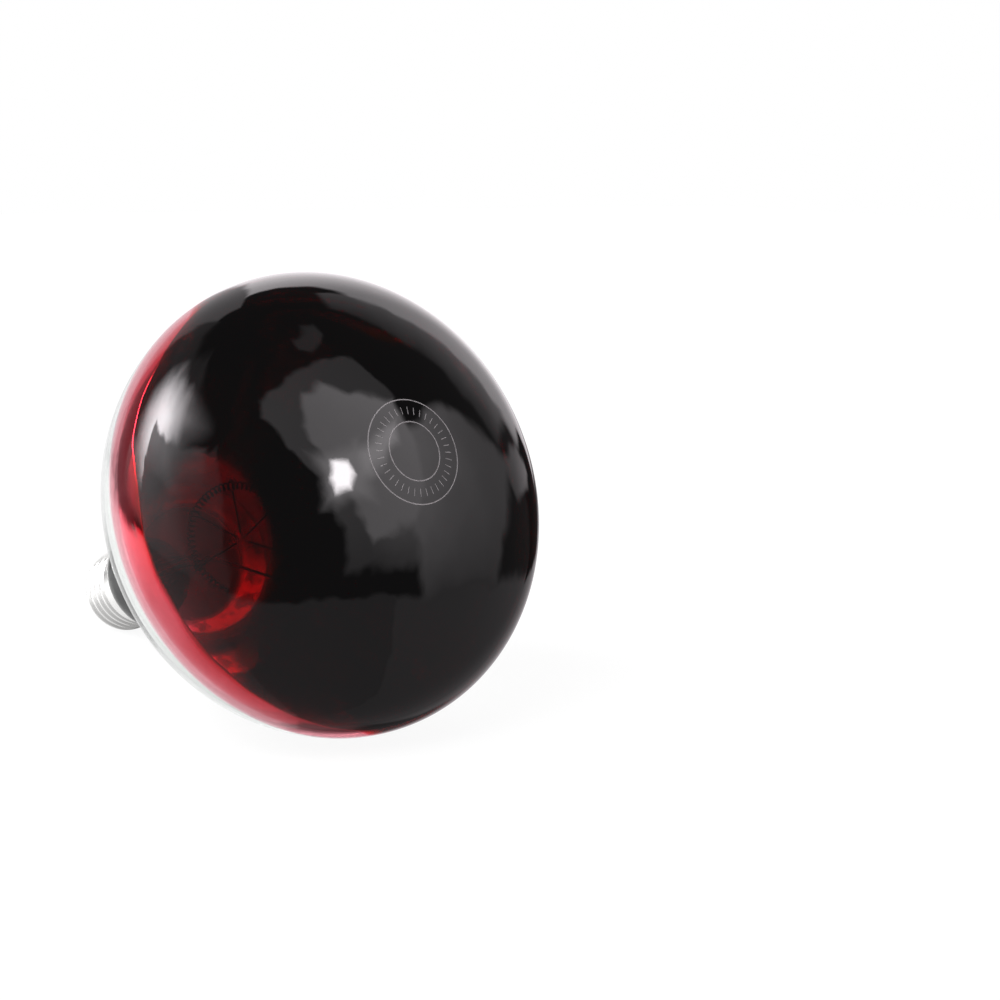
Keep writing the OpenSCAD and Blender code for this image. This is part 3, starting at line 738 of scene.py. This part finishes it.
gloss = shine(tree, (1, 0.95, 0.98, 1), rough, skin)
outer_side = calc(tree, "SUBTRACT", 1.0, add(tree, "ShaderNodeNewGeometry").outputs["Backfacing"])
share = calc(tree, "MULTIPLY", glancing(tree, skin), outer_side)
glazed = blend(tree, share, see_through(tree, tint), gloss)
ink = add(tree, "ShaderNodeBsdfDiffuse", {"Color": INK, "Roughness": 0.4}).outputs[0]
print_wear = ramp(tree, noise(tree, where, 1.4, detail=3.0, roughness=0.7), 0.3, 0.5, 0.35, 0.8)
printed = calc(tree, "MULTIPLY", ring_mark(tree, where), print_wear)
wear(ruby, blend(tree, printed, glazed, ink))
dress(["ruby_glaze"], ruby)

# %% [markdown]
# The silver is a film of metal on the inside of the glass, so it is a mirror with the
# glass's own slow waves, a trace of haze, and a slightly warmer tone where it is thin.
# Towards the mouth of the neck it turns hazy, and there it fades out, most on the low left,
# so daylight shows through it as a broken ring.
# %% Silver
MOUTH_R = 22.5
MOUTH_BLUR = 0.6
HAZE_REACH = 7.5
HAZE_ROUGH = 0.35
FADED_SIDE = (-0.4, -0.9, 0)
silvering, tree, where = new_finish("silvering")
film = noise(tree, where, 0.05, detail=3.0, roughness=0.55)
haze = noise(tree, where, 0.35, detail=5.0, roughness=0.65)
tone = mix_colour(tree, haze, (0.93, 0.93, 0.935, 1), (0.86, 0.855, 0.84, 1))
skin = bump(tree, film, 0.3, 1.0)
rough = ramp(tree, haze, 0.35, 0.8, 0.02, 0.10)
height, away = axis_parts(tree, where)
hazy = ramp(tree, away, MOUTH_R + HAZE_REACH, MOUTH_R, 0.0, HAZE_ROUGH)
rough = calc(tree, "ADD", rough, hazy)
at_mouth = ramp(tree, away, MOUTH_R + MOUTH_BLUR, MOUTH_R - MOUTH_BLUR)
low_left = vector_calc(tree, "DOT_PRODUCT", where, FADED_SIDE, output="Value")
faded = calc(tree, "MULTIPLY", at_mouth, ramp(tree, low_left, -12.0, 4.0, 0.3, 1.0))
streaks = noise(tree, where, 0.16, detail=2.0)
faded = calc(tree, "MULTIPLY", faded, ramp(tree, streaks, 0.34, 0.50, 0.5, 1.0))
silvered = bare_metal(tree, tone, rough, skin)
wear(silvering, blend(tree, faded, silvered, see_through(tree, (1, 1, 1, 1))))
dress(["reflector_silver"], silvering)

# %% [markdown]
# The cap is plated sheet. Rolling leaves fine lines round it, and the plating is a little
# uneven. The roots of the thread are painted darker and rougher in patches, as painted shade
# where the crests shade them. Inside, the sheet is dull and dark from the heat; the way the
# surface faces tells inside from outside.
# %% Plated sheet
nickel, tree, where = new_finish("nickel_sheet")
height, away = axis_parts(tree, where)
stretched = add(tree, "ShaderNodeMapping", {"Vector": where, "Scale": (0.25, 0.25, 6.0)}).outputs["Vector"]
lines = noise(tree, stretched, 1.0, detail=4.0, roughness=0.7)
patches = noise(tree, where, 0.35, detail=5.0, roughness=0.65)
scuffs = noise(tree, where, 2.2, detail=6.0, roughness=0.7)
in_thread = calc(tree, "LESS_THAN", height, BARREL_Z - 0.6)
# Painted shade at the roots of the thread: a mask near the root radius, broken up by the scuffs noise,
# darkens the plating to near black and makes it rougher.
root = calc(tree, "MULTIPLY", ramp(tree, away, ROOT_R + 0.17, ROOT_R + 0.02), in_thread)
painted_root_shade = calc(tree, "MULTIPLY", root, ramp(tree, scuffs, 0.3, 0.65, 0.35, 0.95))
plated = mix_colour(tree, patches, (0.93, 0.925, 0.92, 1), (0.88, 0.87, 0.855, 1))
tone = mix_colour(tree, painted_root_shade, plated, (0.16, 0.155, 0.15, 1))
facing = add(tree, "ShaderNodeNewGeometry").outputs["True Normal"]
upright = {"Vector": facing, "Rotation": (-LAID_TURN, 0, 0)}
facing = add(tree, "ShaderNodeMapping", upright, vector_type="VECTOR")
outward = vector_calc(tree, "MULTIPLY", where, (1, 1, 0))
outward = vector_calc(tree, "DOT_PRODUCT", facing.outputs["Vector"], outward, output="Value")
inside = calc(tree, "LESS_THAN", outward, -0.5)
tone = mix_colour(tree, inside, tone, (0.16, 0.14, 0.12, 1))
rough = calc(tree, "ADD", ramp(tree, patches, 0.3, 0.75, 0.24, 0.34), calc(tree, "MULTIPLY", painted_root_shade, 0.3))
rough = calc(tree, "ADD", rough, calc(tree, "MULTIPLY", inside, 0.35))
skin = bump(tree, scuffs, 0.12, 0.04, bump(tree, lines, 0.25, 0.03))
wear(nickel, bare_metal(tree, tone, rough, skin))
dress(["rolled_screw_shell"], nickel)


# %% [markdown]
# The small parts share one recipe: two tones mixed by a cloudy noise, a roughness that
# varies with it, and a fine bump. What changes is how metallic, rough and grained they are.
# %% Small parts
def plain_finish(name, light, dark, smooth, rough, scale, relief, metallic=1.0, coat=0.0):
    """A finish from two tones; smooth and rough are the ends of its roughness."""
    finish, tree, where = new_finish(name)
    cloud = noise(tree, where, scale, detail=5.0, roughness=0.65, distortion=0.4)
    grain = noise(tree, where, scale * 6, detail=4.0, roughness=0.7)
    inputs = {
        "Base Color": mix_colour(tree, ramp(tree, cloud, 0.3, 0.7), (*light, 1), (*dark, 1)),
        "Metallic": metallic,
        "Roughness": ramp(tree, cloud, 0.3, 0.75, smooth, rough),
        "Coat Weight": coat,
        "Normal": bump(tree, grain, 0.4, relief),
    }
    wear(finish, add(tree, "ShaderNodeBsdfPrincipled", inputs).outputs[0])
    return finish


black_glass_look = plain_finish(
    "black_glass", light=(0.012, 0.010, 0.014), dark=(0.03, 0.026, 0.03),
    smooth=0.06, rough=0.22, scale=0.5, relief=0.03, metallic=0.0, coat=0.4,
)
dress(["cast_black_glass"], black_glass_look)
brass_look = plain_finish(
    "brass_plate", light=(0.78, 0.60, 0.30), dark=(0.50, 0.36, 0.18),
    smooth=0.2, rough=0.42, scale=0.6, relief=0.03,
)
dress(["contact_plate"], brass_look)
solder_look = plain_finish(
    "solder", light=(0.76, 0.76, 0.77), dark=(0.42, 0.42, 0.44),
    smooth=0.22, rough=0.5, scale=0.9, relief=0.06,
)
dress(["contact_solder_drop", "rim_solder_drop"], solder_look)
cement_look = plain_finish(
    "cement", light=(0.62, 0.54, 0.43), dark=(0.42, 0.35, 0.27),
    smooth=0.75, rough=0.95, scale=0.8, relief=0.15, metallic=0.0,
)
dress(["basing_cement"], cement_look)
tungsten_look = plain_finish(
    "tungsten", light=(0.34, 0.34, 0.36), dark=(0.18, 0.18, 0.20),
    smooth=0.3, rough=0.5, scale=1.2, relief=0.02,
)
dress(["wound_filament"], tungsten_look)
nickel_look = plain_finish(
    "nickel_wire", light=(0.62, 0.60, 0.57), dark=(0.42, 0.40, 0.38),
    smooth=0.25, rough=0.45, scale=1.0, relief=0.02,
)
dress(["lead_right", "lead_left"], nickel_look)
copper_look = plain_finish(
    "copper_wire", light=(0.80, 0.42, 0.26), dark=(0.45, 0.22, 0.15),
    smooth=0.25, rough=0.45, scale=1.0, relief=0.02,
)
dress(["seal_wire_right", "seal_wire_left", "centre_tail_wire", "side_tail_wire"], copper_look)
support_look = plain_finish(
    "molybdenum_wire", light=(0.50, 0.50, 0.53), dark=(0.30, 0.30, 0.33),
    smooth=0.3, rough=0.5, scale=1.0, relief=0.02,
)
dress(["support_wire_%d" % i for i in range(1, 6)], support_look)
print("finishes:", len(bpy.data.materials))

# %% [markdown]
# The dome and the silver are mirrors, so half of the lamp's look is the room around it.
# It could be built of real screens and walls, but a room drawn in the world's shader
# blocks no light and is easy to change. It is drawn by direction: azimuth from the front
# towards the right, and height over the horizon, both in degrees. A little noise bends the
# directions, so no edge is ruler straight.
# %% Directions in the room
WOBBLE = 4.0
ROOM_BASE = 0.12
world = bpy.data.worlds.new("studio")
bpy.context.scene.world = world
world.use_nodes = True
tree = world.node_tree
tree.nodes.clear()
way = add(tree, "ShaderNodeTexCoord").outputs["Generated"]
way = vector_calc(tree, "NORMALIZE", way)
apart = add(tree, "ShaderNodeSeparateXYZ", {"Vector": way})
azimuth = calc(tree, "ARCTAN2", apart.outputs["X"], calc(tree, "MULTIPLY", apart.outputs["Y"], -1.0))
azimuth = calc(tree, "MULTIPLY", azimuth, math.degrees(1))
elevation = calc(tree, "MULTIPLY", calc(tree, "ARCSINE", apart.outputs["Z"]), math.degrees(1))
view = add(tree, "ShaderNodeCombineXYZ", {"X": azimuth, "Y": elevation, "Z": 1.0}).outputs["Vector"]
wobble = add(tree, "ShaderNodeTexNoise", {"Vector": way, "Scale": 5.0, "Detail": 2.0}).outputs["Color"]
wobble = vector_calc(tree, "SUBTRACT", wobble, (0.5, 0.5, 0.5))
view = vector_calc(tree, "ADD", view, vector_calc(tree, "MULTIPLY", wobble, (2 * WOBBLE, 2 * WOBBLE, 0)))
apart = add(tree, "ShaderNodeSeparateXYZ", {"Vector": view})
azimuth, elevation = apart.outputs["X"], apart.outputs["Y"]
print("edges in the room bend by up to", WOBBLE, "degrees")

# %% [markdown]
# The room is built up like a collage. Each patch is a polygon with a soft edge and a
# brightness for its four corners, and it covers what was laid before. A glow is added to
# what is there, as the light of a lamp is.
# %% Patches and glows
def patch(light, corners, softness, low_left, low_right, high_left, high_right):
    """Lays a soft convex polygon over the room's light. Its corners run anticlockwise."""
    inside = None
    for (x0, y0), (x1, y1) in zip(corners, corners[1:] + corners[:1]):
        length = math.hypot(x1 - x0, y1 - y0)
        across = ((y0 - y1) / length, (x1 - x0) / length)
        edge = (across[0], across[1], -across[0] * x0 - across[1] * y0)
        depth = vector_calc(tree, "DOT_PRODUCT", view, edge, output="Value")
        inside = depth if inside is None else calc(tree, "MINIMUM", inside, depth)
    left, right = min(x for x, y in corners), max(x for x, y in corners)
    low, high = min(y for x, y in corners), max(y for x, y in corners)
    bottom = ramp(tree, azimuth, left, right, low_left, low_right, smooth=False)
    top = ramp(tree, azimuth, left, right, high_left, high_right, smooth=False)
    strength = ramp(tree, elevation, low, high, bottom, top, smooth=False)
    return ramp(tree, inside, -softness / 2, softness / 2, light, strength)


def glow(light, centre, half_width, half_height, strength):
    """Adds a lamp behind a large diffuser, brightest in its middle."""
    off = vector_calc(tree, "SUBTRACT", view, (*centre, 1))
    off = vector_calc(tree, "DIVIDE", off, (half_width, half_height, 1))
    off = vector_calc(tree, "LENGTH", off, output="Value")
    return calc(tree, "ADD", light, ramp(tree, off, 0.0, 1.0, strength, 0.0))


# %% [markdown]
# The lists go from the back of the room to the front: the tabletop, the walls, two large
# lamps behind diffusers, the screens and last the windows, some of them with a brighter
# part. A patch gives its corners, its softness and four brightnesses. The room lights the
# lamp and shows in its mirrors, and the camera itself sees plain white.
# %% The room
DIFFUSERS = [((-93, 43), 41, 30, 21.0), ((-66, 53), 44, 16, 12.0)]
TABLETOP = [
    ([(-240, -95), (-97, -95), (-97, -3), (-240, -3)], 2, 0.65, 0.75, 1.05, 1.2),
    ([(-154, -30), (-100, -30), (-100, -4), (-154, -4)], 6, 1.1, 1.1, 1.8, 2.2),
    ([(-97, -95), (-40, -95), (-40, -2), (-97, -2)], 2, 0.60, 0.55, 0.75, 0.36),
    ([(-40, -95), (28, -95), (28, -5), (-40, 1.5)], 2, 0.38, 0.38, 0.36, 0.34),
    ([(28, -95), (92, -95), (92, -9), (28, -5)], 3, 0.38, 0.40, 0.46, 0.50),
    ([(92, -95), (157, -95), (157, -4), (92, -12)], 4, 0.30, 0.40, 0.55, 0.80),
    ([(102, -66), (160, -66), (158, -34), (116, -36)], 10, 0.14, 0.14, 0.14, 0.14),
    ([(157, -95), (240, -95), (240, -3), (157, -3)], 4, 0.45, 0.65, 1.0, 1.05),
]
WALLS = [
    ([(-240, -3), (-163, -3), (-163, 73), (-240, 73)], 5, 1.0, 0.9, 1.1, 1.1),
    ([(158, -3), (240, -3), (240, 73), (158, 73)], 4, 0.85, 1.0, 1.1, 1.1),
    ([(-165, 0), (-124, 0), (-124, 72), (-165, 72)], 8, 0.28, 0.25, 0.38, 0.42),
    ([(-164, -6), (-118, -6), (-118, 9), (-164, 9)], 6, 0.24, 0.22, 0.26, 0.28),
    ([(-170, 56), (-30, 56), (-30, 76), (-170, 76)], 8, 0.45, 0.45, 0.35, 0.30),
    ([(-130, 2), (-97, 2), (-97, 27), (-130, 27)], 6, 0.25, 0.6, 1.5, 2.8),
]
SCREENS = [
    ([(-98, -4), (-41, -4), (-41, 30), (-98, 30)], 1.5, 1.0, 0.42, 2.0, 0.65),
    ([(-42, -6), (-22, -6), (-22, 45), (-42, 32)], 1.5, 0.40, 0.27, 0.75, 0.30),
    ([(-97, 27), (-27, 27), (-27, 44), (-96, 44)], 3, 2.0, 0.25, 5.0, 0.8),
    ([(98, -3), (158, -3), (158, 60), (98, 54)], 4, 1.7, 1.2, 2.8, 4.0),
    ([(91, -12), (119, -12), (112, 4), (100, 9), (91, 9)], 2, 0.04, 0.04, 0.06, 0.06),
    ([(84, 3), (97, 3), (97, 10), (84, 12)], 2, 0.5, 1.4, 0.5, 0.8),
    ([(86, 14), (99, 14), (99, 60), (86, 60)], 3, 0.25, 0.9, 0.35, 1.0),
]
WIDE_WINDOW = [(38, -8), (70, -8), (86, 10), (82, 20), (72, 30), (64, 33), (42, 33), (38, 10)]
TALL_WINDOW = [(23, 11), (40, 13), (54, 30), (55, 42), (34, 54), (21, 54), (14, 46), (17, 30)]
WINDOWS = [
    ([(12, 28), (57, 42), (58, 53), (45, 59), (20, 60), (0, 57), (-2, 51)], 2, 0.80, 0.60, 0.80, 0.60),
    ([(14, 4), (24, 4), (24, 31), (13, 31)], 3, 0.45, 0.5, 0.9, 0.8),
    ([(22, 3), (42, 3), (42, 14), (23, 14)], 4, 0.4, 0.6, 0.9, 1.2),
    (WIDE_WINDOW, 4, 0.45, 0.5, 2.7, 0.7),
    (TALL_WINDOW, 3, 1.7, 2.1, 2.0, 2.8),
    ([(24, 28), (46, 31), (50, 36), (24, 33.5)], 4, 4.0, 4.6, 4.0, 4.6),
    ([(11, 24), (26, 22), (29, 36), (12, 37)], 7, 3.2, 3.2, 3.2, 3.2),
    ([(15, 26), (20.5, 25), (23, 29), (22, 32.5), (17, 34), (14, 30.5)], 3, 26.0, 26.0, 26.0, 26.0),
    ([(42, 65), (46, 62.5), (64, 62.5), (69, 65), (64, 67.5), (46, 67.5)], 2, 0.42, 0.42, 0.42, 0.42),
]
light = ROOM_BASE
for entry in TABLETOP + WALLS:
    light = patch(light, *entry)
for entry in DIFFUSERS:
    light = glow(light, *entry)
for entry in SCREENS + WINDOWS:
    light = patch(light, *entry)
rays = add(tree, "ShaderNodeLightPath")
room = add(tree, "ShaderNodeBackground", {"Color": (1, 1, 1, 1), "Strength": light})
plain = add(tree, "ShaderNodeBackground", {"Color": (1, 1, 1, 1), "Strength": 1.0})
seen = blend(tree, rays.outputs["Is Camera Ray"], room.outputs[0], plain.outputs[0])
add(tree, "ShaderNodeOutputWorld", {"Surface": seen})
print("patches in the room:", len(TABLETOP + WALLS + SCREENS + WINDOWS))

# %% [markdown]
# To the camera the table is nearly plain white, by the share CLEAN_WHITE, and keeps a
# faint shadow. A mirror sees the tabletop that is drawn in the lower half of the room, so
# the table lets glossy rays through to it.
# %% The table
TABLE_HALF = 3.0
CLEAN_WHITE = 0.92
bpy.ops.object.select_all(action="DESELECT")
bpy.ops.mesh.primitive_plane_add(size=2 * TABLE_HALF, location=(0, 0, 0))
table = bpy.context.object
table.name = "table"
tabletop = bpy.data.materials.new("tabletop")
tabletop.use_nodes = True
tree = tabletop.node_tree
tree.nodes.clear()
rays = add(tree, "ShaderNodeLightPath")
white = add(tree, "ShaderNodeEmission", {"Color": (1, 1, 1, 1), "Strength": 1.0}).outputs[0]
shaded = add(tree, "ShaderNodeBsdfDiffuse", {"Color": (0.8, 0.8, 0.8, 1)}).outputs[0]
to_camera = blend(tree, CLEAN_WHITE, shaded, white)
to_room = blend(tree, rays.outputs["Is Glossy Ray"], shaded, see_through(tree, (1, 1, 1, 1)))
wear(tabletop, blend(tree, rays.outputs["Is Camera Ray"], to_room, to_camera))
table.data.materials.append(tabletop)
print("table:", 2 * TABLE_HALF, "m wide")

# %% [markdown]
# The camera stands where the photograph was taken. Its place was found by laying the
# lamp's outline over the one in the photograph. Clear skins and mirrors need many bounces.
# %% Camera and view
CAMERA_PLACE = (-0.270838, -0.481506, 0.156545)
CAMERA_RIGHT = (0.80050328, -0.59912196, 0.01572842)
CAMERA_UP = (0.09716937, 0.15563744, 0.98302345)
CAMERA_AHEAD = (0.59139886, 0.78538517, -0.18280459)
CAMERA_LENS = 70.30
CAMERA_SENSOR = 36.0
bpy.ops.object.camera_add(location=CAMERA_PLACE)
camera = bpy.context.object
camera.name = "photo_camera"
camera.data.lens = CAMERA_LENS
camera.data.sensor_width = CAMERA_SENSOR
camera.data.clip_start = 0.01
turn = Matrix((CAMERA_RIGHT, CAMERA_UP, [-v for v in CAMERA_AHEAD])).transposed()
camera.matrix_world = Matrix.Translation(CAMERA_PLACE) @ turn.to_4x4()
scene = bpy.context.scene
scene.camera = camera
scene.view_settings.view_transform = "Standard"
scene.cycles.max_bounces = 20
scene.cycles.glossy_bounces = 14
scene.cycles.transparent_max_bounces = 40
print("camera height:", round(camera.location.z, 3), "m, lens:", CAMERA_LENS, "mm")
